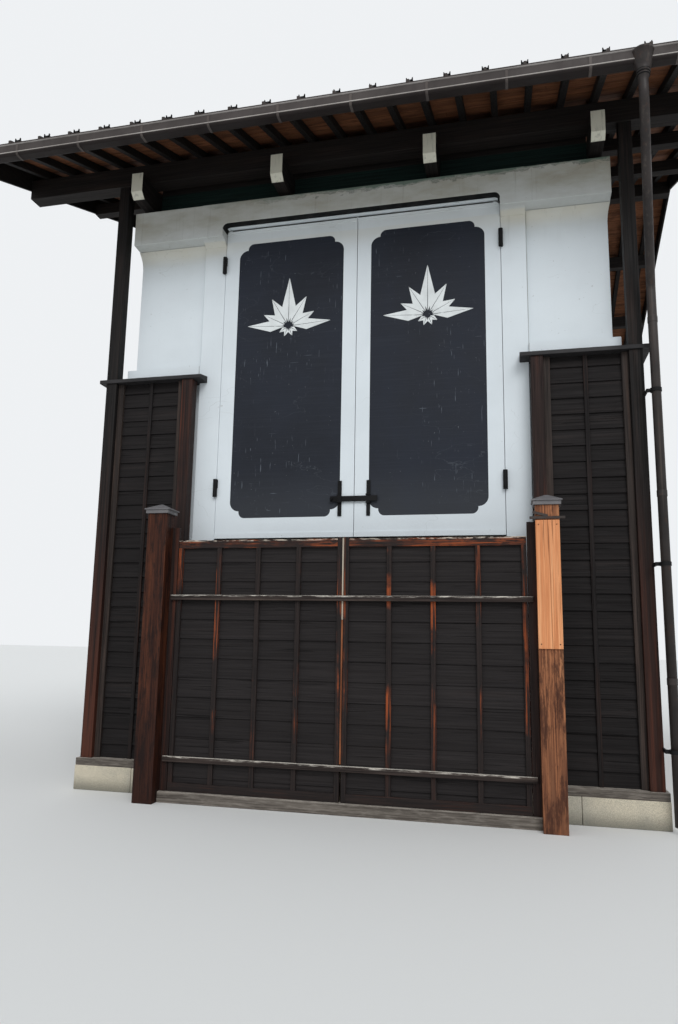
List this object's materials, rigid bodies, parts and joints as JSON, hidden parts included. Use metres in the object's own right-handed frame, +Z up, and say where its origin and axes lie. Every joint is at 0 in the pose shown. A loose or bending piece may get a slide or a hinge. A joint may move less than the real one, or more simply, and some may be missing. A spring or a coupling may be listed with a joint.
{
  "type": "float storehouse",
  "caption": "Tall plastered storehouse with double doors, boarded lower walls and a separate gable roof on a timber frame.",
  "frame": {"origin": "on the ground under the middle of the doorway, in the plane of the door faces", "axes": "+X to the right along the front, +Y into the building, +Z up"},
  "size_m": [8.06, 10.3965, 8.7329],
  "materials": {
    "stone": "rough cast foundation",
    "earth": "rammed earth floor",
    "plaster": "white lime plaster, grimy under the eaves",
    "door_plaster": "smooth white plaster",
    "black_lacquer": "black polished plaster, scratched",
    "black_iron": "black iron",
    "dark_timber": "black-stained timber",
    "brown_timber": "red-brown weathered timber",
    "weathered_timber": "grey weathered timber",
    "black_boards": "charred boards",
    "new_timber": "pale timber board",
    "grey_sheet": "grey sheet metal",
    "brown_sheet": "brown coated sheet metal",
    "soffit_timber": "orange-brown boards",
    "roof_metal": "dark coated sheet metal"
  },
  "bodies": {
    "house": {"foundation": "stone", "floor": "earth", "left_wall": "plaster", "right_wall": "plaster", "back_wall": "plaster", "front_wall_left": "plaster", "front_wall_right": "plaster", "front_lintel": "plaster", "cornice_front": "plaster", "cornice_back": "plaster", "ceiling": "plaster", "door_sill": "dark_timber", "hinge_pins": "black_iron", "skirt_sill": "weathered_timber", "skirt_side_members": "brown_timber", "left_skirt_panel": "black_boards", "right_skirt_panel": "black_boards", "skirt_rails": "weathered_timber", "sign_posts": "brown_timber", "post_caps": "grey_sheet", "name_board": "new_timber", "post_straps": "black_iron", "ground_sills": "weathered_timber", "corner_posts": "dark_timber", "trim_posts": "brown_timber", "weatherboards": "black_boards", "drip_caps": "brown_sheet", "roof_beams": "dark_timber", "eave_plates": "dark_timber", "purlins": "dark_timber", "ridge_beam": "dark_timber", "roof_struts": "dark_timber", "eave_infill": "dark_timber", "rafters": "dark_timber", "roof_boards": "soffit_timber", "fascias": "dark_timber", "roof_sheets": "roof_metal", "ridge_cap": "roof_metal", "bargeboards": "dark_timber", "snow_stops": "black_iron", "front_gutter": "brown_sheet", "back_gutter": "brown_sheet", "gutter_straps": "brown_sheet", "downpipe": "brown_sheet", "pipe_brackets": "black_iron"},
    "left_leaf": {"left_door": "door_plaster", "left_door_panel": "black_lacquer", "left_hinges": "black_iron", "left_bolt_plate": "black_iron", "bolt_bar": "black_iron"},
    "right_leaf": {"right_door": "door_plaster", "right_door_panel": "black_lacquer", "right_hinges": "black_iron", "right_bolt_plate": "black_iron"}
  },
  "joints": [
    {"name": "left_door_hinge", "type": "hinge", "parent": "house", "child": "left_leaf", "pos_m": [-1.52, -0.028, 4.3], "axis": [0, 0, -1], "range_deg": [0, 90]},
    {"name": "right_door_hinge", "type": "hinge", "parent": "house", "child": "right_leaf", "pos_m": [1.52, -0.028, 4.3], "axis": [0, 0, 1], "range_deg": [0, 90]}
  ],
  "couplings": [
    {"joint": "right_door_hinge", "follows": "left_door_hinge", "ratio": 1}
  ]
}
